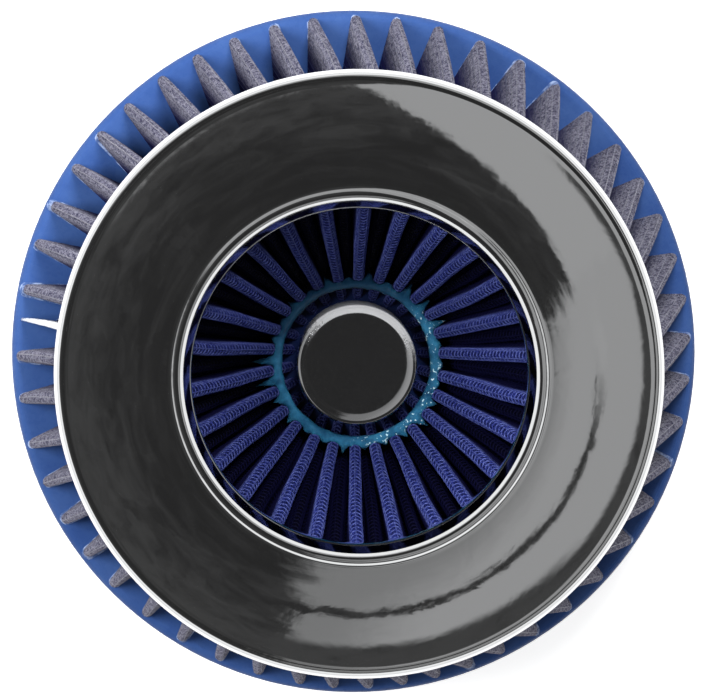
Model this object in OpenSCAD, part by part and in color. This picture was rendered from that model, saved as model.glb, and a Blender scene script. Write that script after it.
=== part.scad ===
/* [Flange] */
// Outside diameter of the intake pipe that the flange slips over
pipe_d = 102; // [80:1:125]
// Thickness of the flange wall
flange_wall = 4.5; // [3.5:0.1:6]
// Depth that the pipe goes into the flange
flange_depth = 25; // [20:0.5:32]
// Step that the end of the pipe stops against
stop_step = 2.5; // [1.5:0.1:4]
// Thickness of that step along the pipe
stop_t = 3; // [2:0.1:4]
// Height of the bead round the open end, which keeps the clamp on
end_bead_h = 0.9; // [0.6:0.1:1.5]
// Width of that bead
end_bead_w = 2.6; // [2:0.1:4]

/* [Base ring] */
// Radial width of the base ring outside the pipe
base_w = 25; // [20:0.5:30]
// Height of the base ring's outer wall
base_h = 14; // [11:0.5:17]
// Rounding of the base ring's outer edges
base_round = 2.2; // [1.5:0.1:2.8]
// How far the pleat tips stand in from the edge of the base ring
tip_margin = 1; // [0.6:0.1:2]

/* [Media] */
// Thickness of each wire screen
screen_t = 0.25; // [0.15:0.05:0.3]
// Thickness of the cotton gauze between the screens
gauze_t = 0.5; // [0.3:0.05:0.6]

/* [Outer cone] */
// Number of pleats round the outer cone, the seam included
outer_pleats = 51; // [40:1:56]
// Height of the outer cone between the base ring and the top ring
outer_h = 77; // [60:1:95]
// How much less the top radius is than the bottom radius
outer_taper = 12.5; // [8:0.5:16]
// Depth of a pleat at the bottom
outer_depth = 15; // [12:0.5:17]
// Depth of a pleat at the top
outer_depth_top = 12.5; // [10:0.5:15]
// Radius of a fold at a pleat's tip, at the middle of the media
outer_tip_fold_r = 0.7; // [0.65:0.05:1.6]
// Radius of a fold in the valley between two pleats
outer_fold_r = 1.35; // [1:0.05:1.6]
// Turn of the pleats between bottom and top, in degrees
outer_lean = 3.2; // [0:0.1:4]
// Angle of the first pleat tip, where the seam is
seam_angle = 174.5; // [0:0.5:359]
// Thickness of the seam clip
seam_clip_t = 1.3; // [1:0.1:2]

/* [Inner cone] */
// Number of deep pleats round the inner cone, each with a shallow one beside it
inner_pleats = 26; // [20:1:28]
// Angle round the cone where its pleats start
inner_angle = 2; // [0:0.5:14]
// Radius of a fold at the bottom, at the middle of the media
inner_fold_r = 0.62; // [0.6:0.01:0.7]
// Radius of a fold at the top
inner_fold_r_top = 1; // [0.7:0.05:1.05]
// Depth of a deep pleat at the bottom
inner_depth = 9; // [8.5:0.5:10.5]
// How far the shallow pleats stay back from the deep ones at the bottom
shallow_back = 5.4; // [4.8:0.1:5.8]
// How far they stay back at the top
shallow_back_top = 4.6; // [3:0.1:6]
// Height of the inner cone
inner_h = 52.6; // [44:0.2:60]
// Free space between the two cones at the top
cone_gap = 4; // [3:0.5:5]

/* [Top cover] */
// Radial width of the cover, from the opening to the rim
cover_w = 28.6; // [24:0.2:32]
// Thickness of the plated sheet
cover_t = 0.8; // [0.6:0.1:1]
// Height of the rim above the media
rim_h = 3.5; // [3:0.1:4.5]
// Rounding of the rolled rim
rim_round = 2.2; // [1.6:0.1:2.4]
// Slope of the crown beside the opening, in degrees
crown_in = 3; // [0:0.5:8]
// Slope of the crown beside the rim, in degrees
crown_out = 27; // [20:0.5:34]

/* [Centre cap and end disc] */
// Diameter of the plated cap in the inner cone
cap_d = 25.8; // [22:0.2:30]
// Height that the cap stands above the end disc
cap_h = 18.6; // [12:0.2:22]
// Rounding of the cap's edge
cap_round = 2.4; // [1.5:0.1:3]
// Thickness of the cap's wall
cap_t = 0.8; // [0.6:0.1:1.2]
// Thickness of the end disc
disc_t = 9; // [7:0.5:12]
// How far the cap's skirt is set into the end disc
cap_seat = 5; // [3:0.5:6]
// Height of the seal ring above the end of the inner cone
seal_up = 9; // [6:0.5:12]
// Thickness of the seal ring
seal_t = 2.6; // [1.5:0.1:4]

/* [Hose clamp] */
// Width of the clamp band
band_w = 12.7; // [9:0.1:14]
// Thickness of the clamp band
band_t = 0.8; // [0.6:0.05:1]
// Height of the band's lower edge above the open end
band_z = 6; // [4.5:0.5:8]
// Radius of the worm screw
worm_r = 3.6; // [3:0.1:4]
// Length of the screw housing
housing_len = 17; // [14:0.5:20]
// Angle round the flange where the screw housing sits
clamp_angle = 285; // [0:5:355]

/* [Hidden] */
$fn = 96;

// Clearances
slip = 0.1;
seal_gap = 0.3;
fold_gap = 0.16;
screw_gap = 0.25;

// Flange and base ring
pipe_r = pipe_d / 2;
flange_r = pipe_r + flange_wall;
base_r = pipe_r + base_w;
shoulder_z = flange_depth;
base_low_z = shoulder_z + 3;
base_z = base_low_z + base_h;
throat_r = pipe_r - stop_step;

// Media, from the middle of the sheet outwards
half_t = screen_t + gauze_t / 2;
half_gauze = gauze_t / 2;

// Outer cone
outer_top_z = base_z + outer_h;
outer_r = base_r - tip_margin;
outer_r_top = outer_r - outer_taper;
outer_in_r = outer_r - outer_depth;
outer_in_r_top = outer_r_top - outer_depth_top;

// Top cover
cover_r = outer_r_top + tip_margin;
opening_r = cover_r - cover_w;

// Inner cone
inner_top_z = outer_top_z;
inner_z = inner_top_z - inner_h;
inner_r_top = opening_r + slip;
inner_out_r_top = outer_in_r_top - cone_gap;
cap_r = cap_d / 2;
fold_half = 90 / inner_pleats;
// Smallest outer radius at which the folds of the shallow and the deep pleats stand clear of each other
crowded_r = (inner_fold_r + half_t + fold_gap / 2) * (1 + 1 / sin(fold_half));
inner_r = max(cap_r + slip, crowded_r - inner_depth);
inner_out_r = inner_r + inner_depth;

// Points on an arc, from one angle to the other
function arc(x, y, r, from, to, n) =
    [for (k = [0:n]) let (a = from + (to - from) * k / n) [x + r * cos(a), y + r * sin(a)]];

// Points on a fold. Two points alone are set in from its ends, so that the fold keeps most of its height.
function fold(x, y, r, from, to, n) =
    let (cut = n == 2 ? (to - from) / 5 : 0) arc(x, y, r, from + cut, to - cut, n - 1);

// A pack is a pleated sheet at one height:
// [folds, tip radius, valley radius, fold radius of a tip, turn, short tip radius, shallow valley radius,
// fold radius of a valley]
// The radii are those of the sheet's two outer faces. The short tip stands at the seam. Every second
// valley is a shallow one. Either of these two radii is 0 where the pack has none.
outer_low = [outer_pleats, outer_r, outer_in_r, outer_tip_fold_r, seam_angle, outer_in_r + 7, 0,
    outer_fold_r];
outer_high = [outer_pleats, outer_r_top, outer_in_r_top, outer_tip_fold_r, seam_angle - outer_lean,
    outer_in_r_top + 6, 0, outer_fold_r];
inner_low = [2 * inner_pleats, inner_out_r, inner_r, inner_fold_r, inner_angle, 0, inner_r + shallow_back,
    inner_fold_r];
inner_high = [2 * inner_pleats, inner_out_r_top, inner_r_top, inner_fold_r_top, inner_angle, 0,
    inner_r_top + shallow_back_top, inner_fold_r_top];

// Distance of a tip's fold centre and of a valley's fold centre from the axis
function tip_centre(p, i) = (i == 0 && p[5] > 0 ? p[5] : p[1]) - half_t - p[3];
function valley_centre(p, i) = (i % 2 == 1 && p[6] > 0 ? p[6] : p[2]) + half_t + p[7];

// Angle that the sheet turns through from the crest of a tip to the wall that is tangent to both folds
function sweep(p, tip, valley) =
    let (
        half = 180 / p[0],
        x = valley * cos(half) - tip,
        y = valley * sin(half)
    ) atan2(y, x) - acos((p[3] + p[7]) / norm([x, y]));

// Outline of a pack at offset s from the middle of the sheet, with the points of each fold:
// [on a tip, on a valley, on a shallow valley]
function outline(p, s, fold_points) =
    let (half = 180 / p[0])
    [
        for (i = [0:p[0] - 1])
            let (
                turn = p[4] + 2 * half * i,
                tip_r = tip_centre(p, i),
                next_r = tip_centre(p, (i + 1) % p[0]),
                before_r = valley_centre(p, i + p[0] - 1),
                valley_r = valley_centre(p, i),
                tip = tip_r * [cos(turn), sin(turn)],
                valley = valley_r * [cos(turn + half), sin(turn + half)],
                left = turn - sweep(p, tip_r, before_r),
                right = turn + sweep(p, tip_r, valley_r),
                next_left = turn + 2 * half - sweep(p, next_r, valley_r),
                valley_points = i % 2 == 1 && p[6] > 0 ? fold_points[2] : fold_points[1]
            )
            each concat(
                fold(tip[0], tip[1], p[3] + s, left, right, fold_points[0]),
                fold(valley[0], valley[1], p[7] - s, right + 180, next_left + 180, valley_points)
            )
    ];

inner_fold_points = [2, 4, 3];

// One layer of a pleated cone between two heights, from offset s0 to offset s1 of the sheet
module pleated_layer(low, high, z0, z1, s0, s1, fold_points) {
    rings = [
        for (end = [[low, z0], [high, z1]]) for (s = [s1, s0])
            [for (q = outline(end[0], s, fold_points)) [q[0], q[1], end[1]]]
    ];
    n = len(rings[0]);
    polyhedron(
        points = [for (ring = rings) each ring],
        faces = [
            for (i = [0:n - 1])
                let (
                    j = (i + 1) % n,
                    low_out = [i, j],
                    low_in = [n + i, n + j],
                    high_out = [2 * n + i, 2 * n + j],
                    high_in = [3 * n + i, 3 * n + j]
                )
                each concat(
                    wall(low_out, high_out), back_wall(low_in, high_in),
                    wall(low_in, low_out), wall([high_in[1], high_in[0]], [high_out[1], high_out[0]])
                )
        ],
        convexity = 10
    );
}

// Two triangles between a lower edge and an upper edge, seen from outside
function wall(a, b) = [[a[0], b[0], b[1]], [a[0], b[1], a[1]]];

// The same two triangles seen from inside, so that two layers share their common surface
function back_wall(a, b) = [[a[0], b[1], b[0]], [a[0], a[1], b[1]]];

module outer_layer(s0, s1) {
    pleated_layer(outer_low, outer_high, base_z, outer_top_z, s0, s1, [4, 2, 2]);
}

module inner_layer(s0, s1) {
    pleated_layer(inner_low, inner_high, inner_z, inner_top_z, s0, s1, inner_fold_points);
}

module outer_back_screen() {
    color([0.52, 0.53, 0.56]) outer_layer(-half_t, -half_gauze);
}

module outer_gauze() {
    color([0.16, 0.18, 0.42]) outer_layer(-half_gauze, half_gauze);
}

module outer_face_screen() {
    color([0.47, 0.45, 0.52]) outer_layer(half_gauze, half_t);
}

module inner_face_screen() {
    color([0.2, 0.22, 0.62]) inner_layer(-half_t, -half_gauze);
}

module inner_gauze() {
    color([0.14, 0.15, 0.5]) inner_layer(-half_gauze, half_gauze);
}

module inner_back_screen() {
    color([0.52, 0.53, 0.56]) inner_layer(half_gauze, half_t);
}

// Thin metal strip that holds the two ends of the outer media together, from the base ring to the top
module seam_clip() {
    function corners(p, z, tip) =
        let (
            near = p[5] + slip,
            side = seam_clip_t / 2,
            a = p[4]
        )
        [
            for (q = [[near, -side], [tip, -side], [tip, side], [near, side]])
                [q[0] * cos(a) - q[1] * sin(a), q[0] * sin(a) + q[1] * cos(a), z]
        ];
    color([0.86, 0.87, 0.88])
        polyhedron(
            points = concat(
                corners(outer_low, base_z, outer_r - 1.6),
                corners(outer_high, outer_top_z, outer_r_top - 0.2)
            ),
            faces = [
                [0, 1, 2], [0, 2, 3], [4, 6, 5], [4, 7, 6],
                for (i = [0:3]) let (j = (i + 1) % 4) each [[i, i + 4, j + 4], [i, j + 4, j]]
            ]
        );
}

// Flange, pipe stop and base ring, cast in one piece
module base_moulding() {
    chamfer = 0.8;
    throat_top = shoulder_z + stop_t;
    flare_r = min(base_z - throat_top, outer_in_r - slip - throat_r);
    color([0.16, 0.34, 0.68])
        rotate_extrude($fn = 180)
            polygon(concat(
                [[pipe_r + chamfer, 0], [flange_r + end_bead_h - 0.4, 0], [flange_r + end_bead_h, 0.4]],
                [[flange_r + end_bead_h, end_bead_w - 0.4], [flange_r, end_bead_w + 0.4]],
                arc(flange_r + 2, shoulder_z - 3, 2, 180, 90, 5),
                [[base_r - 8, shoulder_z - 1]],
                [[base_r - base_round, base_low_z]],
                arc(base_r - base_round, base_low_z + base_round, base_round, -70, 0, 5),
                arc(base_r - base_round, base_z - base_round, base_round, 0, 90, 6),
                [[throat_r + flare_r, base_z]],
                arc(throat_r + flare_r, base_z - flare_r, flare_r, 90, 180, 9),
                [[throat_r, throat_top], [throat_r, shoulder_z], [pipe_r, shoulder_z], [pipe_r, chamfer]]
            ));
}

// Crown of the cover: one arc whose slope grows from the opening to the rim
crown_in_r = opening_r + 4.4;
crown_out_r = cover_r - 1.5 * rim_round;
crown_r = (crown_out_r - crown_in_r) / (sin(crown_out) - sin(crown_in));
crown_x = crown_in_r - crown_r * sin(crown_in);
crown_z = outer_top_z + rim_h - crown_r * cos(crown_out);
crown_top_z = crown_z + crown_r * cos(crown_in);

// Underside of the cover, from the opening's skirt to the rim's skirt
skirt_in_r = opening_r + cover_t;
skirt_out_r = cover_r - cover_t;
under_cover = concat(
    [[skirt_in_r, outer_top_z], [skirt_in_r, crown_top_z - cover_t - 1.4]],
    arc(crown_x, crown_z, crown_r - cover_t, 90 - crown_in, 90 - crown_out, 12),
    [[skirt_out_r, outer_top_z + rim_h - 2 * cover_t], [skirt_out_r, outer_top_z]]
);

module top_cover() {
    bead_r = 1.25;
    bead_x = opening_r + 2.3;
    bead_z = crown_top_z - 0.2;
    color([0.75, 0.76, 0.78])
        rotate_extrude($fn = 180)
            polygon(concat(
                under_cover,
                [[cover_r, outer_top_z]],
                arc(cover_r - rim_round, outer_top_z + rim_h - rim_round + 0.25, rim_round, 0, 108, 10),
                arc(crown_x, crown_z, crown_r, 90 - crown_out, 90 - crown_in, 16),
                arc(bead_x, bead_z, bead_r, 10, 190, 12),
                [[opening_r + 0.5, bead_z - 0.9], [opening_r, bead_z - 1.6], [opening_r, outer_top_z]]
            ));
}

// Cast ring under the cover, which both cones are set in
module top_potting() {
    color([0.13, 0.28, 0.58])
        rotate_extrude($fn = 180)
            polygon(under_cover);
}

// Bead of sealant round the inside of the inner cone, with a fillet in each groove
module seal_ring() {
    z0 = inner_z + seal_up;
    share = seal_up / inner_h;
    bore_r = inner_r + (inner_r_top - inner_r) * share - 0.75;
    // The cone's air side at the height of the ring's lower face, a little in from the screen
    low = outline(inner_low, -half_t - seal_gap, inner_fold_points);
    high = outline(inner_high, -half_t - seal_gap, inner_fold_points);
    air_side = [for (i = [0:len(low) - 1]) low[i] + (high[i] - low[i]) * share];
    color([0.09, 0.33, 0.42])
        translate([0, 0, z0])
            linear_extrude(seal_t)
                difference() {
                    intersection() {
                        circle(r = bore_r + 3.6);
                        polygon(air_side);
                    }
                    circle(r = bore_r);
                }
}

// Cast disc that closes the lower end of the inner cone and holds the cap
module end_disc() {
    disc_r = inner_out_r + 1.2;
    color([0.13, 0.28, 0.58])
        rotate_extrude($fn = 120)
            polygon(concat(
                [[0, inner_z - disc_t]],
                arc(disc_r - 2.5, inner_z - disc_t + 1.5, 1.5, -90, -10, 4),
                [[disc_r, inner_z - 0.6], [disc_r - 0.6, inner_z]],
                [[cap_r, inner_z], [cap_r, inner_z - cap_seat], [cap_r - cap_t, inner_z - cap_seat]],
                [[cap_r - cap_t, inner_z - 1], [0, inner_z - 1]]
            ));
}

// Plated cup, open below, set by its skirt in the end disc
module centre_cap() {
    top_z = inner_z + cap_h;
    inside = cap_round - cap_t;
    color([0.75, 0.76, 0.78])
        rotate_extrude($fn = 120)
            polygon(concat(
                [[cap_r - cap_t, inner_z - cap_seat], [cap_r, inner_z - cap_seat]],
                arc(cap_r - cap_round, top_z - cap_round, cap_round, 0, 86, 8),
                [[0, top_z + 0.3], [0, top_z + 0.3 - cap_t]],
                arc(cap_r - cap_round, top_z - cap_round, inside, 86, 0, 6)
            ));
}

// Clamp band: a closed hoop with its tail lapped over the outside
band_r = flange_r;
tail_angle = 58;

module clamp_band() {
    slots = 13;
    slot_step = 3.4;
    color([0.8, 0.81, 0.83])
        translate([0, 0, band_z])
            difference() {
                union() {
                    rotate_extrude($fn = 180)
                        translate([band_r, 0]) square([band_t, band_w]);
                    rotate([0, 0, clamp_angle - 12])
                        rotate_extrude(angle = tail_angle, $fn = 180)
                            translate([band_r + band_t / 2, 0]) square([1.5 * band_t, band_w]);
                }
                for (i = [0:slots - 1])
                    rotate([0, 0, clamp_angle + slot_step * i + 1])
                        translate([band_r + 2 * band_t, 0, band_w / 2])
                            rotate([8, 0, 0])
                                cube([2 * band_t, 1.3, band_w * 0.6], center = true);
            }
}

// Worm screw axis: across the band, tangent to the flange
housing_w = band_w + 2.4;
lap_r = band_r + 2 * band_t;
worm_x = lap_r + worm_r + screw_gap;

// Puts a piece that lies along +Y at the clamp, with the screw's axis at the worm's radius
module at_clamp() {
    rotate([0, 0, clamp_angle])
        translate([worm_x, 0, band_z + band_w / 2])
            rotate([90, 0, 0])
                children();
}

// Arched housing over the worm, open at both ends, with feet that wrap the band's edges
module clamp_housing() {
    wall = 1.1;
    bore = worm_r + screw_gap;
    outside = bore + wall;
    foot_x = -(worm_x - lap_r) - 0.6;
    color([0.78, 0.79, 0.81])
        at_clamp()
            translate([0, 0, -housing_len / 2])
                linear_extrude(housing_len)
                    difference() {
                        union() {
                            circle(r = outside);
                            translate([foot_x, -outside]) square([-foot_x, 2 * outside]);
                            translate([foot_x, -housing_w / 2]) square([1.6, housing_w]);
                        }
                        circle(r = bore);
                        translate([foot_x - 1, -bore]) square([1 - foot_x, 2 * bore]);
                        translate([foot_x - 1, -band_w / 2 - slip])
                            square([1.6 + slip, band_w + 2 * slip]);
                    }
}

// Worm screw with its thread ridges, collar and slotted hexagon head
module clamp_screw() {
    thread = 1.5;
    core = worm_r - 0.7;
    head_w = 7;
    head_h = 4.2;
    turns = floor((housing_len - 2) / thread);
    color([0.72, 0.73, 0.75])
        at_clamp()
            translate([0, 0, -housing_len / 2])
                difference() {
                    union() {
                        cylinder(r = core, h = housing_len + 1.6);
                        for (i = [0:turns - 1])
                            translate([0, 0, 1 + i * thread]) cylinder(r = worm_r, h = thread / 2);
                        translate([0, 0, housing_len + 0.3]) cylinder(r = worm_r + 0.5, h = 1.1);
                        translate([0, 0, housing_len + 1.4])
                            cylinder(d = head_w / cos(30), h = head_h, $fn = 6);
                    }
                    translate([-head_w, -0.5, housing_len + 1.4 + head_h - 1.6]) cube([2 * head_w, 1, 3]);
                }
}

base_moulding();
outer_back_screen();
outer_gauze();
outer_face_screen();
seam_clip();
inner_face_screen();
inner_gauze();
inner_back_screen();
seal_ring();
end_disc();
centre_cap();
top_potting();
top_cover();
clamp_band();
clamp_housing();
clamp_screw();
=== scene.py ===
import math
import random

import bmesh
import bpy
from mathutils import Matrix, Vector, noise


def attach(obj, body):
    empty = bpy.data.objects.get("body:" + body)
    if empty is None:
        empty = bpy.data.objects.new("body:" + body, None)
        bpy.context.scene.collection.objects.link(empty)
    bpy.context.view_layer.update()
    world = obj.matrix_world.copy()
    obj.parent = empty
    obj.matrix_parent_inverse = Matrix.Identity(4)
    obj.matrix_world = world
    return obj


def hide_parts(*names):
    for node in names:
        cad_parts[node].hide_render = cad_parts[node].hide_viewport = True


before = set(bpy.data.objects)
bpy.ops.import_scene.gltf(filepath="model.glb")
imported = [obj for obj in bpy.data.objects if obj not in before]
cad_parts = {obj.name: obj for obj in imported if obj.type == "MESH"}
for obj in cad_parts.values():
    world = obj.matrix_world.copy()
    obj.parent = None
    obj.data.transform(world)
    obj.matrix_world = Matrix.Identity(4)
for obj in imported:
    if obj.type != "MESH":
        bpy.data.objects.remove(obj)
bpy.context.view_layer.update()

mm = 0.001
weld = 0.000001  # vertices this near are one, in metres
print("frame loaded")


def newObject(name, data):
    thing = bpy.data.objects.new(name, data)
    bpy.context.scene.collection.objects.link(thing)
    return thing


# Camera first: it looks down on the ring cover, a little from the upper left
cameraSet = {
    "distance": 1.206,  # from the base ring, in metres
    "lens": 276.4,
    "tilt": 3.46,  # degrees from straight above
    "towards": 104.5,  # the side it stands on, degrees round from +X
    "aim": (0.0, 0.0, 0.040),
    "shift": (-0.0009, 0.0036),
}


def makeCamera(setup):
    camera = bpy.data.cameras.new("camera")
    camera.lens = setup["lens"]
    camera.sensor_width = 36
    camera.shift_x, camera.shift_y = setup["shift"]
    camera.clip_start, camera.clip_end = 0.05, 20
    thing = newObject("camera", camera)
    tilt = math.radians(setup["tilt"])
    side = math.radians(setup["towards"])
    back = Vector((math.cos(side) * math.sin(tilt), math.sin(side) * math.sin(tilt), math.cos(tilt)))
    right = Vector((0, 1, 0)).cross(back).normalized()
    up = back.cross(right)
    turn = Matrix((right, up, back)).transposed().to_4x4()
    thing.matrix_world = Matrix.Translation(Vector(setup["aim"]) + back * setup["distance"]) @ turn
    bpy.context.scene.camera = thing


makeCamera(cameraSet)
print("camera placed")


# Colours and nodes
def hexColor(text):
    # sRGB hex to linear, with alpha 1
    parts = [int(text[i:i + 2], 16) / 255 for i in (1, 3, 5)]
    return [c / 12.92 if c <= 0.04045 else ((c + 0.055) / 1.055) ** 2.4 for c in parts] + [1.0]


def addNode(tree, kind, settings=None, links=None, values=None):
    # settings are the node's own properties, values go on its sockets, links bring other nodes' outputs
    node = tree.nodes.new(kind)
    for name, value in (settings or {}).items():
        setattr(node, name, value)
    for name, value in (values or {}).items():
        node.inputs[name].default_value = value
    for name, output in (links or {}).items():
        tree.links.new(output, node.inputs[name])
    return node


def calculate(tree, operation, *terms):
    # a math node; each term is another node's output or a plain number
    node = addNode(tree, "ShaderNodeMath", {"operation": operation})
    for place, term in enumerate(terms):
        if isinstance(term, (int, float)):
            node.inputs[place].default_value = term
        else:
            tree.links.new(term, node.inputs[place])
    return node.outputs[0]


def addFade(tree, value, low, high):
    # 0 below low, 1 above high, and smooth between
    return addNode(tree, "ShaderNodeMapRange", {"interpolation_type": "SMOOTHSTEP"}, {"Value": value},
                   {"From Min": low, "From Max": high}).outputs["Result"]


def addBlend(tree, factor, first, second):
    # first at 0 and second at 1; each is a node's output or a hex colour
    node = addNode(tree, "ShaderNodeMix", {"data_type": "RGBA"}, {"Factor": factor})
    for socket, color in (("A", first), ("B", second)):
        if isinstance(color, str):
            node.inputs[socket].default_value = hexColor(color)
        else:
            tree.links.new(color, node.inputs[socket])
    return node.outputs["Result"]


def addRamp(tree, factor, stops):
    node = addNode(tree, "ShaderNodeValToRGB", links={"Fac": factor})
    ramp = node.color_ramp
    while len(ramp.elements) < len(stops):
        ramp.elements.new(0.5)
    for element, (place, color) in zip(ramp.elements, stops):
        element.position = place
        element.color = hexColor(color)
    return node.outputs["Color"]


def addNoise(tree, point, scale, detail, roughness, distortion=0.0):
    return addNode(tree, "ShaderNodeTexNoise", links={"Vector": point},
                   values={"Scale": scale, "Detail": detail, "Roughness": roughness,
                           "Distortion": distortion}).outputs["Fac"]


def addRange(tree, value, source, target, clamp=True):
    # straight from one range of values to another
    return addNode(tree, "ShaderNodeMapRange", {"clamp": clamp}, {"Value": value},
                   {"From Min": source[0], "From Max": source[1],
                    "To Min": target[0], "To Max": target[1]}).outputs["Result"]


def addBump(tree, height, strength, distance):
    return addNode(tree, "ShaderNodeBump", links={"Height": height},
                   values={"Strength": strength, "Distance": distance}).outputs["Normal"]


def addReach(tree, vector, direction):
    # how far the vector reaches along a direction
    return addNode(tree, "ShaderNodeVectorMath", {"operation": "DOT_PRODUCT"}, {0: vector},
                   {1: direction}).outputs["Value"]


def newMaterial(name):
    material = bpy.data.materials.new(name)
    material.use_nodes = True
    tree = material.node_tree
    tree.nodes.clear()
    return material, tree


def finishMaterial(tree, surface):
    addNode(tree, "ShaderNodeOutputMaterial", links={"Surface": surface})


def finishPrincipled(tree, links, values):
    shader = addNode(tree, "ShaderNodeBsdfPrincipled", links=links, values=values)
    finishMaterial(tree, shader.outputs["BSDF"])


def objectPoints(tree):
    # one unit of the pattern is one millimetre
    place = addNode(tree, "ShaderNodeTexCoord").outputs["Object"]
    return addNode(tree, "ShaderNodeMapping", links={"Vector": place},
                   values={"Scale": (1000, 1000, 1000)}).outputs["Vector"]


# The pleated packs. Sizes are the construction's own, in millimetres, at the bottom and at the top.
# The painted shade in the grooves is measured from the crest, and the last entry is how dark the painted shade at
# the foot is.
outerPack = {
    "folds": 51, "tip": (75.0, 62.5), "valley": (60.0, 50.0), "shallow": None, "short": (67.0, 56.0),
    "z": (42.0, 119.0), "tipFold": (0.7, 0.7), "valleyFold": (1.35, 1.35), "turn": (174.5, 171.3),
    "crest": (75.0, 62.5), "inward": 1, "footShade": 0.0,
}
innerPack = {
    "folds": 52, "tip": (22.0, 46.0), "valley": (13.0, 35.0), "shallow": (18.4, 39.6), "short": None,
    "z": (66.4, 119.0), "tipFold": (0.62, 1.0), "valleyFold": (0.62, 1.0), "turn": (2.0, 2.0),
    "crest": (13.0, 35.0), "inward": -1, "footShade": 0.5,
}
sheetSet = {"half": 0.5, "gauze": 0.25, "wireAt": 0.34, "wire": 0.15, "pitch": 1.65}


def between(pair, share):
    return pair[0] + (pair[1] - pair[0]) * share


# Materials, each named for the real finish or for the light painted into it
def makeCastUrethane(name, body, deep, cloudy=(0.09, 0.3, 0.7), shine=0.1):
    # Cast polyurethane: smooth and glossy from the mould, slightly cloudy inside.
    # cloudy is the clouds' scale and where their ramp begins and ends.
    material, tree = newMaterial(name)
    point = objectPoints(tree)
    cloud = addNoise(tree, point, cloudy[0], 4.0, 0.6)
    skin = addNoise(tree, point, 0.8, 3.0, 0.5)
    finishPrincipled(tree,
                     {"Base Color": addRamp(tree, cloud, [(cloudy[1], deep), (cloudy[2], body)]),
                      "Roughness": addRange(tree, skin, (0.3, 0.7), (0.22, 0.36)),
                      "Normal": addBump(tree, skin, 0.25, 0.00006)},
                     {"IOR": 1.5, "Specular IOR Level": shine, "Subsurface Weight": 0.08,
                      "Subsurface Scale": 0.002, "Subsurface Radius": (0.3, 0.6, 1.0)})
    return material


def axisRadius(tree, point):
    split = addNode(tree, "ShaderNodeSeparateXYZ", links={"Vector": point})
    flat = addNode(tree, "ShaderNodeCombineXYZ", links={"X": split.outputs["X"], "Y": split.outputs["Y"]})
    radius = addNode(tree, "ShaderNodeVectorMath", {"operation": "LENGTH"}, {0: flat.outputs["Vector"]})
    return radius.outputs["Value"], split.outputs["Z"]


def addGrooveShade(tree, point, pack, reach):
    # painted shade: 0 on the crest of a pleat, 1 deep in the groove behind it, and more of it towards the foot of
    # the pack
    radius, z = axisRadius(tree, point)
    crest = addRange(tree, z, pack["z"], pack["crest"], clamp=False)
    behind = calculate(tree, "MULTIPLY", calculate(tree, "SUBTRACT", crest, radius), pack["inward"])
    foot = addRange(tree, z, pack["z"], (pack["footShade"], 0.0))
    return calculate(tree, "MAXIMUM", addFade(tree, behind, *reach), foot)


def makeGauze(name, pack, reach, light, dark, deep, pitch):
    # Oiled cotton gauze: matt and fuzzy with lint. Deep in a groove and towards the foot the cloth turns to the deep
    # colour, which is painted shade.
    # The sheet's UV map is in metres along the sheet.
    material, tree = newMaterial(name)
    sheet = addNode(tree, "ShaderNodeUVMap", {"uv_map": "sheet"}).outputs["UV"]
    split = addNode(tree, "ShaderNodeSeparateXYZ", links={"Vector": sheet})

    def thread(axis):
        # 1 on the middle of each thread, 0 halfway between two
        turn = calculate(tree, "MULTIPLY", split.outputs[axis], 2 * math.pi / pitch)
        return calculate(tree, "MULTIPLY_ADD", calculate(tree, "COSINE", turn), 0.5, 0.5)

    point = objectPoints(tree)
    lint = addFade(tree, addNoise(tree, point, 1.1, 5.0, 0.85), 0.43, 0.57)
    threads = calculate(tree, "MULTIPLY", calculate(tree, "MAXIMUM", thread("X"), thread("Y")), 0.35)
    fibre = calculate(tree, "MULTIPLY_ADD", lint, 0.65, threads)
    color = addBlend(tree, addGrooveShade(tree, point, pack, reach), addBlend(tree, fibre, dark, light), deep)
    finishPrincipled(tree, {"Base Color": color, "Normal": addBump(tree, fibre, 1.0, 0.0004)},
                     {"Roughness": 0.9, "IOR": 1.35})
    return material


def makeWire(name, pack, reach, clear, oiled, deep):
    # Drawn aluminium wire under an epoxy coat: satin, with oil and lint caught on it in patches
    material, tree = newMaterial(name)
    point = objectPoints(tree)
    patches = addNoise(tree, point, 1.6, 5.0, 0.8)
    coat = addBlend(tree, addFade(tree, patches, 0.4, 0.6), oiled, clear)
    # painted shade: deep in a groove and towards the foot the coat turns to the deep colour
    color = addBlend(tree, addGrooveShade(tree, point, pack, reach), coat, deep)
    finishPrincipled(tree, {"Base Color": color}, {"Roughness": 0.45, "Metallic": 0.2})
    return material


def makeSealant():
    # Cured sealant: translucent, glassy where it ran and wetted the mesh
    material, tree = newMaterial("curedSealant")
    point = objectPoints(tree)
    cloud = addNoise(tree, point, 0.35, 4.0, 0.6)
    body = addRamp(tree, cloud, [(0.3, "#16405F"), (0.7, "#337598")])
    # painted glints: pale flecks on the side towards +X stand in for highlights on the bead
    glintSide = addFade(tree, addReach(tree, point, (0.9, -0.4, 0.0)), 4.0, 11.0)
    paintedGlints = calculate(tree, "MULTIPLY", addFade(tree, addNoise(tree, point, 1.3, 3.0, 0.6), 0.6, 0.66), glintSide)
    # painted shade: towards +Y the sealant turns dark navy
    far = addReach(tree, point, (-0.35, 0.94, 0.0))
    farSideShade = calculate(tree, "MULTIPLY", addFade(tree, far, 2.0, 15.0), 0.75)
    color = addBlend(tree, paintedGlints, addBlend(tree, farSideShade, body, "#0E1A30"), "#C4E4EE")
    finishPrincipled(tree, {"Base Color": color, "Normal": addBump(tree, cloud, 0.6, 0.0004)},
                     {"Roughness": 0.12, "IOR": 1.5, "Subsurface Weight": 0.35,
                      "Subsurface Scale": 0.0015, "Subsurface Radius": (0.3, 0.8, 1.0)})
    return material


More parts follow.
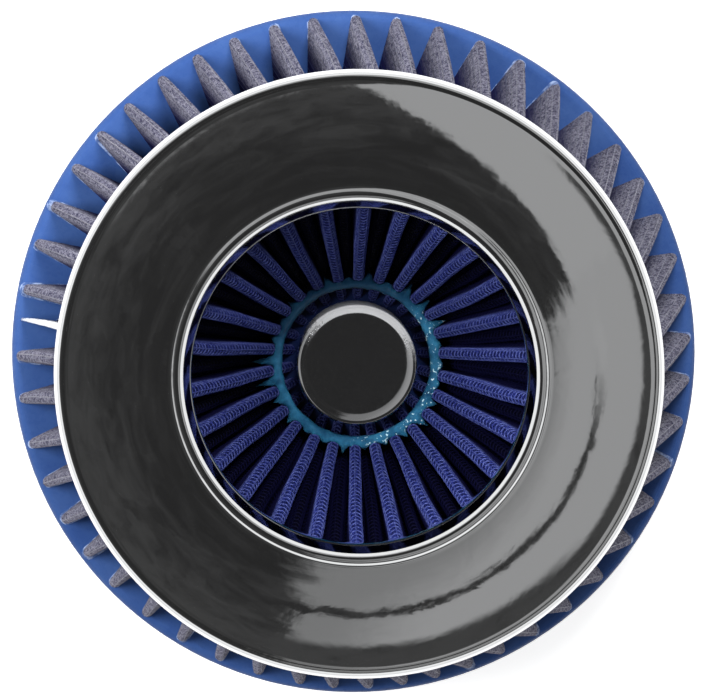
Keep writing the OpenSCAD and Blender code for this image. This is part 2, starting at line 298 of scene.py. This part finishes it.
# The cap's flat stays drawn and matt outside a radius, on one side of it
drawnBand = {"radius": (11.0, 11.3), "towards": (0.17, 0.98, 0.0), "streaks": 8.0, "fade": (2.0, 10.0),
             "rougher": 0.3, "duller": 0.55}


def makeChrome(name, tint, haze, swell, band=None):
    # Plated steel sheet: a mirror with faint press waves and polishing haze. Outside the radius of the band
    # the drawn metal stays matt under the plating.
    material, tree = newMaterial(name)
    point = objectPoints(tree)
    press = addNoise(tree, point, 0.11, 2.5, 0.55, 0.6)
    polish = addNoise(tree, point, 1.4, 4.0, 0.7)
    rough = addRange(tree, polish, (0.35, 0.75), (haze, haze * 2.2))
    links = {"Roughness": rough, "Normal": addBump(tree, press, 1.0, swell)}
    if band:
        # the streaks are centred, so half their height comes off again
        near = calculate(tree, "SUBTRACT", addReach(tree, point, band["towards"]), band["streaks"] / 2)
        streaks = calculate(tree, "MULTIPLY_ADD", polish, band["streaks"], near)
        drawn = calculate(tree, "MULTIPLY", addFade(tree, axisRadius(tree, point)[0], *band["radius"]),
                          addFade(tree, streaks, *band["fade"]))
        links["Roughness"] = calculate(tree, "MULTIPLY_ADD", drawn, band["rougher"], rough)
        links["Metallic"] = calculate(tree, "MULTIPLY_ADD", drawn, -band["duller"], 1.0)
    finishPrincipled(tree, links, {"Base Color": hexColor(tint), "Metallic": 1.0})
    return material


def makeBareMetal(name, tint, roughness, grain):
    # Rolled metal strip: fine drawn grain along the strip
    material, tree = newMaterial(name)
    stretched = addNode(tree, "ShaderNodeMapping", links={"Vector": objectPoints(tree)},
                        values={"Scale": (1.0, 1.0, grain)}).outputs["Vector"]
    lines = addNoise(tree, stretched, 1.5, 4.0, 0.65)
    finishPrincipled(tree,
                     {"Roughness": addRange(tree, lines, (0.3, 0.7), (roughness * 0.7, roughness * 1.4)),
                      "Normal": addBump(tree, lines, 0.5, 0.00003)},
                     {"Base Color": hexColor(tint), "Metallic": 1.0})
    return material


castUrethane = makeCastUrethane("castUrethane", "#496AAA", "#3A5A9C")
# the end disc's dark navy colour is painted shade deep in the inner cone
paintedShadeUrethane = makeCastUrethane("paintedShadeUrethane", "#1C2A56", "#121C40")
# the wetted feet's pale blue-white body colour is a painted highlight standing in for glints on the wet urethane
paintedGlintUrethane = makeCastUrethane("paintedGlintUrethane", "#AFC4EE", "#496AAA", (0.6, 0.46, 0.6), 0.5)
# how far behind the crests the painted groove shade begins and is full, in millimetres; the third colour of each
# gauze and wire below is that painted shade
outerShade, innerShade = (2.6, 9.6), (0.3, 4.4)
threadPitch = 0.5 * mm
outerGauzeCloth = makeGauze("greyedCottonGauze", outerPack, outerShade, "#CCCBE2", "#1C1B42", "#1A1A50", threadPitch)
innerGauzeCloth = makeGauze("blueCottonGauze", innerPack, innerShade, "#37449A", "#111236", "#0A0A22", threadPitch)
outerWire = makeWire("epoxyCoatedWire", outerPack, outerShade, "#9A99AA", "#2C2B4C", "#1F1F52")
innerWire = makeWire("blueEpoxyCoatedWire", innerPack, innerShade, "#6C79C2", "#2D3688", "#131336")
backWire = makeBareMetal("plainScreenWire", "#B4B6BC", 0.35, 1.0)
curedSealant = makeSealant()
platedCover = makeChrome("platedCover", "#E4E5E6", 0.04, 0.00005)
platedCap = makeChrome("platedCap", "#DCDDDF", 0.05, 0.00002, drawnBand)
seamAluminium = makeBareMetal("rolledAluminium", "#E6E8EA", 0.3, 0.04)
clampSteel = makeBareMetal("rolledStainless", "#C8CACD", 0.24, 6.0)
print("materials made")


# Mesh helpers
def newPiece(name, bm, material, smoothAngle=35.0):
    mesh = bpy.data.meshes.new(name)
    bm.to_mesh(mesh)
    bm.free()
    mesh.materials.append(material)
    mesh.shade_smooth()
    mesh.set_sharp_from_angle(angle=math.radians(smoothAngle))
    thing = newObject(name, mesh)
    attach(thing, "root")
    return thing


def bakeShape(thing):
    # the object's finished shape as a bmesh; the object itself goes
    bm = bmesh.new()
    bm.from_mesh(thing.evaluated_get(bpy.context.evaluated_depsgraph_get()).to_mesh())
    bpy.data.objects.remove(thing)
    return bm


def arcPoints(x, y, radius, start, end, count):
    # angles in degrees
    turns = [math.radians(start + (end - start) * k / count) for k in range(count + 1)]
    return [(x + radius * math.cos(a), y + radius * math.sin(a)) for a in turns]


def spinProfile(points, steps):
    # a closed outline of (radius, height) in millimetres, turned once round the axis
    bm = bmesh.new()
    verts = [bm.verts.new((r * mm, 0, z * mm)) for r, z in points]
    edges = [bm.edges.new((verts[i - 1], verts[i])) for i in range(len(verts))]
    bmesh.ops.spin(bm, geom=verts + edges, cent=(0, 0, 0), axis=(0, 0, 1),
                   angle=2 * math.pi, steps=steps, use_merge=True)
    bmesh.ops.remove_doubles(bm, verts=bm.verts, dist=weld)
    bmesh.ops.recalc_face_normals(bm, faces=bm.faces)
    return bm


def packOutline(pack, share, offset, counts, wander):
    # the sheet's outline at a share of the height, in millimetres, as (x, y, depth in the groove)
    folds, step = pack["folds"], math.pi / pack["folds"]
    tipFold, valleyFold = between(pack["tipFold"], share), between(pack["valleyFold"], share)
    turn = math.radians(between(pack["turn"], share))

    def tipCentre(i):
        size = pack["short"] if pack["short"] and i % folds == 0 else pack["tip"]
        return between(size, share) - sheetSet["half"] - tipFold

    def valleyCentre(i):
        size = pack["shallow"] if pack["shallow"] and i % 2 else pack["valley"]
        return between(size, share) + sheetSet["half"] + valleyFold

    def sweep(tip, valley, apart):
        # the wall is tangent to both folds
        x, y = valley * math.cos(apart) - tip, valley * math.sin(apart)
        return math.atan2(y, x) - math.acos((tipFold + valleyFold) / math.hypot(x, y))

    def along(centre, angle, radius, start, end, count, depth):
        turns = [start + (end - start) * k / (count - 1) for k in range(count)]
        return [(centre * math.cos(angle) + radius * math.cos(a),
                 centre * math.sin(angle) + radius * math.sin(a), depth) for a in turns]

    tips = [turn + 2 * step * i + wander(i % folds, share) for i in range(folds)]
    tips = [tips[-1] - 2 * math.pi] + tips + [tips[0] + 2 * math.pi]
    airInside = offset < 0
    points = []
    for i in range(folds):
        before, here, after = tips[i:i + 3]
        halfBack, halfOn = (here - before) / 2, (after - here) / 2
        left = here - sweep(tipCentre(i), valleyCentre(i + folds - 1), halfBack)
        right = here + sweep(tipCentre(i), valleyCentre(i), halfOn)
        nextLeft = after - sweep(tipCentre(i + 1), valleyCentre(i), halfOn)
        inDepth = 0.5 if pack["shallow"] and i % 2 else 0.0
        points += along(tipCentre(i), here, tipFold + offset, left, right, counts[0], float(airInside))
        points += along(valleyCentre(i), here + halfOn, valleyFold - offset, right + math.pi,
                        nextLeft + math.pi, counts[1], inDepth if airInside else 1.0)
    return points


def growLoft(bm, outlines):
    # the first outline is drawn and then extruded to each of the next ones; every vertex keeps its place
    places = {}
    verts = [bm.verts.new(Vector(point) * mm) for point in outlines[0]]
    edges = [bm.edges.new((verts[i - 1], verts[i])) for i in range(len(verts))]
    places.update({v: (i, 0) for i, v in enumerate(verts)})
    for level, outline in enumerate(outlines[1:], 1):
        grown = bmesh.ops.extrude_edge_only(bm, edges=edges)["geom"]
        fresh = {g for g in grown if isinstance(g, bmesh.types.BMVert)}
        edges = [g for g in grown if isinstance(g, bmesh.types.BMEdge) and set(g.verts) <= fresh]
        for v in fresh:
            below = next(e.other_vert(v) for e in v.link_edges if e.other_vert(v) not in fresh)
            index = places[below][0]
            v.co = Vector(outline[index]) * mm
            places[v] = (index, level)
    return places


def wallSlant(pack):
    return math.hypot(pack["z"][1] - pack["z"][0], pack["tip"][0] - pack["tip"][1])


def buildGauze(pack, counts, levels, wander, airInside):
    # a closed sheet: up the air side, over the top edge and down the clean side
    face = -sheetSet["gauze"] if airInside else sheetSet["gauze"]
    rows = [(level / levels, face) for level in range(levels + 1)]
    rows += [(share, -face) for share, _ in reversed(rows)]
    flats = [packOutline(pack, share, offset, counts, wander) for share, offset in rows]
    outlines = [[(x, y, between(pack["z"], share)) for x, y, _ in flat] for (share, _), flat in zip(rows, flats)]
    bm = bmesh.new()
    places = growLoft(bm, outlines + [outlines[0]])
    # UV map: along the folded sheet and up the wall, in metres
    middle = outlines[levels // 2]
    lengths = [0.0]
    for i, point in enumerate(middle):
        lengths.append(lengths[-1] + (Vector(middle[(i + 1) % len(middle)]) - Vector(point)).length)
    slant = wallSlant(pack)
    sheet = bm.loops.layers.uv.new("sheet")
    for patch in bm.faces:
        wraps = {places[v][0] for v in patch.verts} >= {0, len(middle) - 1}
        for loop in patch.loops:
            index, row = places[loop.vert]
            share = rows[row % len(rows)][0]
            distance = lengths[-1] if wraps and index == 0 else lengths[index]
            loop[sheet].uv = (distance * mm, slant * share * mm)
    bmesh.ops.remove_doubles(bm, verts=bm.verts, dist=weld)
    bmesh.ops.recalc_face_normals(bm, faces=bm.faces)
    return bm


def buildScreen(pack, offset, counts, wander):
    # a woven wire screen laid over the pleats: wires round the pack, and wires up each wall
    s = sheetSet
    curve = bpy.data.curves.new("screen_wires", "CURVE")
    curve.dimensions = "3D"
    curve.bevel_depth = s["wire"] * mm
    curve.bevel_resolution = 0

    def layWire(points, closed):
        wire = curve.splines.new("POLY")
        wire.points.add(len(points) - 1)
        wire.points.foreach_set("co", [c for x, y, z in points for c in (x * mm, y * mm, z * mm, 1.0)])
        wire.use_cyclic_u = closed

    rounds = int(wallSlant(pack) / s["pitch"])
    for k in range(rounds):
        share = (k + 0.5) / rounds
        z = between(pack["z"], share)
        layWire([(x, y, z) for x, y, _ in packOutline(pack, share, offset, counts, wander)], True)
    # the wires up the wall stand at even steps along the sheet, at half its height
    legs = 3
    flats = [[Vector((x, y, between(pack["z"], leg / legs)))
              for x, y, _ in packOutline(pack, leg / legs, offset, counts, wander)] for leg in range(legs + 1)]
    middle = packOutline(pack, 0.5, offset, counts, wander)
    total, nextAt = 0.0, 0.0
    for i, (x, y, _) in enumerate(middle):
        onX, onY, _ = middle[(i + 1) % len(middle)]
        length = math.hypot(onX - x, onY - y)
        while nextAt < total + length:
            part = (nextAt - total) / length
            layWire([flat[i].lerp(flat[(i + 1) % len(flat)], part) for flat in flats], False)
            nextAt += s["pitch"]
        total += length
    bm = bakeShape(newObject("screen_wires", curve))
    bpy.data.curves.remove(curve)
    return bm


# how far the outer pleats stray from even spacing, in degrees, by their number from the seam
outerStray = [(0, 0.0), (7, 0.0), (9.3, 0.9), (12, 1.4), (18.5, -6.0), (20.6, -5.4), (23, -3.7), (26, -2.6),
              (29, -2.6), (32, -2.4), (35, -1.4), (38, 0.1), (51, 0.0)]
# how far those beside the seam stray besides, in radians
besideSeam = {1: -0.020, 2: -0.011, 50: 0.022, 49: 0.012, 48: 0.005}
# and how far all of them stray at random, in radians: the whole pleat, and more or less of it up the wall
looseSet = {"outer": (0.006, 0.005), "inner": (0.03, 0.02)}


def outerWander(i, share):
    after = next(k for k in range(1, len(outerStray)) if outerStray[k][0] >= i)
    (low, first), (high, last) = outerStray[after - 1], outerStray[after]
    stray = math.radians(between((first, last), (i - low) / (high - low)))
    whole, part = looseSet["outer"]
    loose = noise.noise(Vector((i * 0.83, 3.1, 0))) * whole + noise.noise(Vector((i * 1.7, 9.4, share))) * part
    return stray + besideSeam.get(i, 0.0) + (loose if i else 0.0)


def innerWander(i, share):
    whole, part = looseSet["inner"]
    return (noise.noise(Vector((i * 0.91, 5.7, 0))) * whole
            + noise.noise(Vector((i * 1.3, 2.2, share * 2.5))) * part)


# pack, air inside, stray, points round a fold in the cloth and in the wires, and the two finishes
packs = {
    "outer": (outerPack, False, outerWander, (5, 4), (5, 3), outerGauzeCloth, outerWire),
    "inner": (innerPack, True, innerWander, (4, 6), (3, 5), innerGauzeCloth, innerWire),
}
clothLevels = 10
for side, (pack, airInside, wander, clothCounts, wireCounts, cloth, wire) in packs.items():
    sheet = newPiece(side + "_cotton_pleats", buildGauze(pack, clothCounts, clothLevels, wander, airInside),
                     cloth, 60)
    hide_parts(side + "_gauze")
    way = -1 if airInside else 1
    faceScreen = newPiece(side + "_face_wires", buildScreen(pack, way * sheetSet["wireAt"], wireCounts, wander),
                          wire, 60)
    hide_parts(side + "_face_screen")
    backScreen = newPiece(side + "_back_wires", buildScreen(pack, -way * sheetSet["wireAt"], wireCounts, wander),
                          backWire, 60)
    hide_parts(side + "_back_screen")
    print(side, "pleats folded", len(sheet.data.polygons), len(faceScreen.data.polygons),
          len(backScreen.data.polygons))

# The aluminium strip that closes the sheet is nipped at its foot and stands open at the cover
stripSet = {"turn": (174.1, 170.9), "back": (66.8, 56.1), "front": (74.3, 62.4), "z": (42.05, 118.9),
            "half": (0.3, 0.85), "opens": 0.6, "levels": 6}


def buildStrip(s):
    outlines = []
    for level in range(s["levels"] + 1):
        share = level / s["levels"]
        turn = math.radians(between(s["turn"], share))
        out, across = Vector((math.cos(turn), math.sin(turn))), Vector((-math.sin(turn), math.cos(turn)))
        back, front = between(s["back"], share), between(s["front"], share)
        half = between(s["half"], share ** s["opens"])
        # the front is rounded
        shoulder, nose, side = front - half * 0.6, front - half * 0.15, half * 0.6
        flat = [(back, -half), (shoulder, -half), (nose, -side), (front, 0.0), (nose, side), (shoulder, half),
                (back, half)]
        spots = [out * r + across * w for r, w in flat]
        outlines.append([(x, y, between(s["z"], share)) for x, y in spots])
    bm = bmesh.new()
    growLoft(bm, outlines)
    bmesh.ops.holes_fill(bm, edges=[e for e in bm.edges if e.is_boundary], sides=0)
    bmesh.ops.recalc_face_normals(bm, faces=bm.faces)
    return bm


strip = newPiece("seam_strip", buildStrip(stripSet), seamAluminium, 50)
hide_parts("seam_clip")
print("seam strip folded")

# Where the base was cast, the urethane wetted the foot of each pleat and climbed it a little
footSet = {
    "width": 0.5, "climb": 0.8, "counts": (7, 4), "least": 0.03, "usual": 0.42, "uneven": 2.2,
    # outward from the sheet and up, as shares of the width and the climb
    "rows": ((1.0, 0.0), (0.5, 0.22), (0.2, 0.55), (0.03, 1.0), (-0.6, 1.0), (-0.6, 0.0)),
}


def buildFoot(s):
    outlines = []
    for reach, height in s["rows"]:
        plain = packOutline(outerPack, 0.0, sheetSet["gauze"], s["counts"], outerWander)
        wide = packOutline(outerPack, 0.0, sheetSet["gauze"] + s["width"] * reach, s["counts"], outerWander)
        ring = []
        for (x, y, depth), (wideX, wideY, _) in zip(plain, wide):
            # thickest at the tips, and nowhere even
            patch = noise.noise(Vector((x * 0.35, y * 0.35, 4.0)))
            amount = max(s["least"], (1 - 0.8 * depth) * (s["usual"] + s["uneven"] * patch))
            grow = amount if reach > 0 else 1.0
            ring.append((x + (wideX - x) * grow, y + (wideY - y) * grow,
                         outerPack["z"][0] + height * s["climb"] * amount))
        outlines.append(ring)
    bm = bmesh.new()
    growLoft(bm, outlines + [outlines[0]])
    bmesh.ops.remove_doubles(bm, verts=bm.verts, dist=2 * weld)
    bmesh.ops.recalc_face_normals(bm, faces=bm.faces)
    return bm


# their pale colour is a painted highlight
newPiece("base_foot_wetting", buildFoot(footSet), paintedGlintUrethane, 60)
print("pleat feet wetted")

# The seal ring: a bead of sealant that ran into the grooves between the deep pleats
sealSet = {
    "radius": 16.95, "thick": 1.15, "z": 76.7, "beads": 190, "swell": 0.22, "thinAt": 1.93, "thinner": 0.22,
    "grooves": 26, "turn": 12.38, "reach": (0.9, 2.6), "lean": 0.03, "tongue": 8, "uneven": (0.85, 1.1),
    "drops": 0.45, "dropTurn": 6.6, "dropOut": (0.5, 1.0), "dropSize": (0.35, 0.6), "voxel": 0.25, "seed": 7,
    "long": {12: 5.2, 13: 5.0, 2: 3.4, 3: 3.6, 1: 3.8, 22: 3.2},  # reach by groove, after the photo
}


def buildSeal(s):
    draw = random.Random(s["seed"])
    bm = bmesh.new()

    def blob(angle, radius, z, size, flat):
        place = Matrix.Translation(Vector((radius * math.cos(angle), radius * math.sin(angle), z)) * mm)
        bmesh.ops.create_icosphere(bm, subdivisions=2, radius=size * mm,
                                   matrix=place @ Matrix.Diagonal((1, 1, flat, 1)))

    for k in range(s["beads"]):
        angle = 2 * math.pi * k / s["beads"]
        swell = 1 + s["swell"] * noise.noise(Vector((math.cos(angle), math.sin(angle), 1.7)) * 4)
        thinning = 1 - s["thinner"] * max(0.0, math.cos(angle - s["thinAt"]))
        blob(angle, s["radius"], s["z"], s["thick"] * swell * thinning, 0.9)
    for groove in range(s["grooves"]):
        angle = math.radians(s["turn"] + 360 / s["grooves"] * groove)
        reach = s["long"].get(groove, draw.uniform(*s["reach"]))
        lean = draw.uniform(-s["lean"], s["lean"])
        for k in range(s["tongue"]):
            share = k / (s["tongue"] - 1)
            blob(angle + lean * share, s["radius"] + 0.3 + reach * share, s["z"] - 0.1 - 0.6 * share,
                 (1.45 - 1.15 * share ** 0.9) * draw.uniform(*s["uneven"]), 0.7)
        if draw.random() < s["drops"]:
            # a drop that stayed on the ridge's end
            blob(angle + math.radians(s["dropTurn"]) + draw.uniform(-s["lean"], s["lean"]),
                 s["radius"] + draw.uniform(*s["dropOut"]), s["z"] + 0.5, draw.uniform(*s["dropSize"]), 0.8)
    mesh = bpy.data.meshes.new("seal_blobs")
    bm.to_mesh(mesh)
    bm.free()
    thing = newObject("seal_blobs", mesh)
    remesh = thing.modifiers.new("remesh", "REMESH")
    remesh.mode, remesh.voxel_size = "VOXEL", s["voxel"] * mm
    smooth = thing.modifiers.new("smooth", "SMOOTH")
    smooth.factor, smooth.iterations = 0.5, 4
    bm = bakeShape(thing)
    bpy.data.meshes.remove(mesh)
    return bm


seal = newPiece("seal_bead", buildSeal(sealSet), curedSealant, 180)
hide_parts("seal_ring")
print("seal bead laid", len(seal.data.polygons))


# The ring cover: one pressed and plated sheet
coverSet = {
    "rim": 63.5, "opening": 34.9, "sheet": 0.8, "zLow": 119.0, "zTop": 129.12, "crownOut": (60.3, 122.0),
    "crownInR": 39.7, "slopeIn": 3.0, "slopeOut": 30.5, "rimRoll": 2.8, "rimSlope": 25.0,
    "lipRoll": 0.8, "lipAt": 37.6, "facet": 0.62, "facetFall": 0.84, "flank": 3.2, "step": 0.75, "steps": 288,
    # out from the crown's edge and up
    "valley": ((1.2, -0.49), (0.95, -0.5), (0.8, -0.46)),
    # in from the crown, and the share of the lip's rise
    "rise": ((0.25, 0.05), (0.55, 0.18), (0.85, 0.4), (1.15, 0.65), (1.45, 0.85), (1.75, 0.95), (2.0, 1.0)),
}


def buildCover(s):
    outer, outerZ = s["crownOut"]
    slopeIn, slopeOut = math.radians(s["slopeIn"]), math.radians(s["slopeOut"])
    bend = (outer - s["crownInR"]) / (math.sin(slopeOut) - math.sin(slopeIn))
    x, z = s["crownInR"] - bend * math.sin(slopeIn), outerZ - bend * math.cos(slopeOut)
    lipZ = s["zTop"] - s["lipRoll"]
    skirt = s["opening"] + s["sheet"]
    # underside, from the opening's skirt to the rim's skirt
    points = [(skirt, s["zLow"]), (skirt, lipZ - 4.2), (s["lipAt"], lipZ)]
    points += arcPoints(x, z, bend - s["sheet"], 90 - s["slopeIn"], 90 - s["slopeOut"], 24)
    points += [(s["rim"] - s["sheet"], s["zLow"] + 1.9), (s["rim"] - s["sheet"], s["zLow"])]
    # rolled rim, with a narrow valley between it and the crown
    points += arcPoints(s["rim"] - s["rimRoll"], s["zLow"], s["rimRoll"], 0, 90 - s["rimSlope"], 16)
    points += [(outer + out, outerZ + up) for out, up in s["valley"]]
    points += arcPoints(x, z, bend, 90 - s["slopeOut"], 90 - s["slopeIn"], 48)
    # raised lip: a soft rise from the crown, a tight roll, and a bevel down into the opening
    crownTop = points[-1][1]
    rise = s["zTop"] - crownTop
    points += [(s["crownInR"] - back, crownTop + rise * part) for back, part in s["rise"]]
    points += arcPoints(s["lipAt"], lipZ, s["lipRoll"], 90, 128, 6)
    bevelX, bevelZ = points[-1][0] - s["facet"], points[-1][1] - s["facetFall"] * s["facet"]
    points += [(bevelX, bevelZ), (bevelX - 0.08, bevelZ - 0.1)]
    flankX, flankZ = bevelX - 0.16, bevelZ - 0.28
    # a steep flank with one fine step near the cut edge
    stepX = between((flankX, s["opening"]), s["step"])
    stepZ = between((flankZ, flankZ - s["flank"]), s["step"])
    points += [(flankX, flankZ), (stepX, stepZ), (stepX - 0.05, stepZ - 0.04), (stepX - 0.08, stepZ - 0.14)]
    points += [(s["opening"], flankZ - s["flank"]), (s["opening"], s["zLow"])]
    return spinProfile(points, s["steps"])


cover = newPiece("cover_shell", buildCover(coverSet), platedCover, 50)
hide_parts("top_cover")
print("cover pressed", len(cover.data.polygons))

# The plated cap in the middle of the inner cone
capSet = {"radius": 12.9, "flat": 10.7, "top": 85.15, "fall": (4, 13), "valley": 12.0, "beadIn": 12.5, "bead": 0.35,
          "rise": 0.14, "wall": 0.8, "foot": 61.4}


def buildCap(s):
    # the falling edge is an arc from one slope to the other
    low, high = (math.radians(a) for a in s["fall"])
    bend = (s["valley"] - s["flat"]) / (math.sin(high) - math.sin(low))
    edge = arcPoints(s["flat"] - bend * math.sin(low), s["top"] - bend * math.cos(low), bend,
                     90 - s["fall"][0], 90 - s["fall"][1], 6)
    valleyZ = edge[-1][1] - 0.02
    beadZ = valleyZ + s["rise"]
    points = [(s["radius"] - s["wall"], s["foot"]), (s["radius"], s["foot"])]
    points += arcPoints(s["radius"] - s["bead"], beadZ - s["bead"], s["bead"], 0, 80, 6)
    points += [(s["beadIn"], beadZ - 0.01), (s["beadIn"] - 0.12, beadZ - 0.05), (s["valley"] + 0.12, valleyZ)]
    points += reversed(edge)
    points += [(s["flat"] * f, s["top"]) for f in (0.97, 0.8, 0.5, 0.2)]
    points += [(0, s["top"]), (0, s["top"] - s["wall"])]
    points += [(s["flat"], s["top"] - s["wall"]), (s["radius"] - s["wall"], valleyZ - s["wall"])]
    return spinProfile(points, 128)


cap = newPiece("cap_shell", buildCap(capSet), platedCap, 50)
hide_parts("centre_cap")
print("cap pressed")

# Finishes of the pieces that keep their own shape
finishes = {
    "base_moulding": castUrethane, "top_potting": castUrethane, "end_disc": paintedShadeUrethane,
    "clamp_band": clampSteel, "clamp_housing": clampSteel, "clamp_screw": clampSteel,
}
for node, material in finishes.items():
    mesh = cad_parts[node].data
    mesh.materials.clear()
    mesh.materials.append(material)
print("kept pieces finished")

# Floor, world and lamps
stageSet = {
    "floor": "#F4F4F4", "floorGlow": 0.5, "mirrorGlow": 0.2, "floorShade": "#5C5C5C",
    "floorSize": 3.0, "floorGap": 0.0001,  # metres; the gap keeps it clear of the part's foot
    "softbox": "#949494", "softboxEnd": "#787878", "wall": "#979797", "darkWall": "#3E3E3E", "ceiling": "#262626",
    "lampPower": 10.4, "lampAim": (0, 0, 0.08),
}
# place and size, in metres
lamps = {"topLamp": ((0.1, 0.52, 1.2), 0.3), "leftLamp": ((-0.55, 0.15, 1.2), 0.4)}


def makeFloor(setup):
    bm = bmesh.new()
    bmesh.ops.create_grid(bm, x_segments=1, y_segments=1, size=setup["floorSize"],
                          matrix=Matrix.Translation((0, 0, -setup["floorGap"])))
    mesh = bpy.data.meshes.new("floor")
    bm.to_mesh(mesh)
    bm.free()
    material, tree = newMaterial("paleFloor")
    light = addNode(tree, "ShaderNodeLightPath")
    # a camera or a mirror sees a white floor that keeps the shadow; soft light from it stays low
    sharp = calculate(tree, "MAXIMUM", light.outputs["Is Camera Ray"], light.outputs["Is Glossy Ray"])
    seen = calculate(tree, "MAXIMUM", sharp, light.outputs["Is Transmission Ray"])
    paint = addNode(tree, "ShaderNodeBsdfDiffuse",
                    links={"Color": addBlend(tree, seen, setup["floorShade"], setup["floor"])})
    # straight to the camera it is plain white, in a mirror a little less
    mirrorGlow = calculate(tree, "MULTIPLY", seen, setup["mirrorGlow"])
    strength = calculate(tree, "MULTIPLY_ADD", light.outputs["Is Camera Ray"], setup["floorGlow"], mirrorGlow)
    glow = addNode(tree, "ShaderNodeEmission", links={"Strength": strength})
    both = addNode(tree, "ShaderNodeAddShader", links={0: paint.outputs["BSDF"], 1: glow.outputs["Emission"]})
    # from below it is clear, so the underside can be looked at
    clear = addNode(tree, "ShaderNodeBsdfTransparent")
    below = addNode(tree, "ShaderNodeNewGeometry").outputs["Backfacing"]
    shown = addNode(tree, "ShaderNodeMixShader",
                    links={0: below, 1: both.outputs["Shader"], 2: clear.outputs["BSDF"]})
    finishMaterial(tree, shown.outputs["Shader"])
    mesh.materials.append(material)
    thing = newObject("floor", mesh)


def makeWorld(setup):
    world = bpy.data.worlds.new("studio")
    bpy.context.scene.world = world
    world.use_nodes = True
    tree = world.node_tree
    tree.nodes.clear()
    direction = addNode(tree, "ShaderNodeTexCoord").outputs["Generated"]
    height = addNode(tree, "ShaderNodeSeparateXYZ", links={"Vector": direction}).outputs["Z"]
    # the edges of what a mirror sees are ragged
    ragged = addNoise(tree, direction, 14.0, 6.0, 0.75)
    stray = calculate(tree, "MULTIPLY_ADD", ragged, 0.16, -0.08)

    def side(towards, low, high):
        # 0 to 1 across an edge, along a direction
        return addFade(tree, calculate(tree, "ADD", addReach(tree, direction, towards), stray), low, high)

    def both(first, second):
        return calculate(tree, "MULTIPLY", first, second)

    def flip(value):
        return calculate(tree, "SUBTRACT", 1.0, value)

    def lower(low, high):
        # 1 to 0 across an even height
        return flip(addFade(tree, height, low, high))

    overhead, front = (0.0, 0.0, 1.0), (0.0, -1.0, 0.0)
    panelSide, panelEnd, rightSide = (0.5, -0.866, 0.0), (0.966, -0.259, 0.0), (0.99, -0.14, 0.0)
    # a dark ceiling, mottled
    mottle = addNoise(tree, direction, 7.0, 5.0, 0.7, 1.0)
    shade = calculate(tree, "ADD", height, calculate(tree, "MULTIPLY_ADD", mottle, -1.6, 0.8))
    dark = addBlend(tree, addFade(tree, shade, 0.3, 1.1), setup["darkWall"], setup["ceiling"])
    # a lit wall on the upper right that ends lower the further round it goes
    wall = both(calculate(tree, "MAXIMUM", side((0.835, 0.275, -0.477), -0.01, 0.03), lower(0.46, 0.52)),
                side((0.42, 0.91, 0.0), 0.0, 0.25))
    # a broad grey panel overhead on the lower right, with a dark frame line across it
    panel = both(side(panelSide, 0.1, 0.135), side(panelEnd, 0.0, 0.06))
    line = both(both(side(overhead, 0.775, 0.79), flip(side(overhead, 0.82, 0.84))), side(panelSide, 0.12, 0.3))
    # the panel doesn't reach down in front, and a dark corner on the right cuts both it and the wall
    panel = both(panel, flip(both(lower(0.52, 0.6), side(front, 0.5, 0.7))))
    corner = both(lower(0.47, 0.53), side(rightSide, 0.48, 0.62))
    wall, panel = both(wall, flip(corner)), both(panel, flip(corner))
    panelColor = addBlend(tree, side(panelEnd, 0.1, 0.4), setup["softboxEnd"], setup["softbox"])
    shiny = addBlend(tree, wall, dark, setup["wall"])
    shiny = addBlend(tree, both(panel, flip(line)), shiny, panelColor)
    # white low down all round
    shiny = addBlend(tree, lower(0.26, 0.36), shiny, "#F2F2F2")
    path = addNode(tree, "ShaderNodeLightPath")
    # soft light comes mostly from above
    soft = addRange(tree, height, (-0.1, 0.9), (0.2, 0.48))
    # and more from the upper left of the picture
    aside = addReach(tree, direction, (-0.64, 0.77, 0.0))
    soft = calculate(tree, "MULTIPLY", soft, calculate(tree, "MULTIPLY_ADD", aside, 0.7, 1.0))
    plain = addNode(tree, "ShaderNodeBackground", links={"Strength": soft},
                    values={"Color": hexColor("#FFFFFF")})
    bright = addNode(tree, "ShaderNodeBackground", values={"Color": hexColor("#FFFFFF"), "Strength": 1.0})
    mirrored = addNode(tree, "ShaderNodeBackground", links={"Color": shiny}, values={"Strength": 1.2})
    first = addNode(tree, "ShaderNodeMixShader", links={0: path.outputs["Is Glossy Ray"],
                                                        1: plain.outputs[0], 2: mirrored.outputs[0]})
    last = addNode(tree, "ShaderNodeMixShader", links={0: path.outputs["Is Camera Ray"],
                                                       1: first.outputs[0], 2: bright.outputs[0]})
    addNode(tree, "ShaderNodeOutputWorld", links={"Surface": last.outputs[0]})


def makeLamp(name, place, size, setup):
    lamp = bpy.data.lights.new(name, "AREA")
    lamp.shape = "RECTANGLE"
    lamp.size = lamp.size_y = size
    lamp.energy = setup["lampPower"]
    thing = newObject(name, lamp)
    thing.location = place
    thing.rotation_euler = (Vector(setup["lampAim"]) - Vector(place)).to_track_quat("-Z", "Y").to_euler()
    thing.visible_glossy = False  # the chrome mirrors only the world and the floor


makeFloor(stageSet)
makeWorld(stageSet)
for name, (place, size) in lamps.items():
    makeLamp(name, place, size, stageSet)
bpy.context.scene.view_settings.view_transform = "Standard"
print("stage lit")
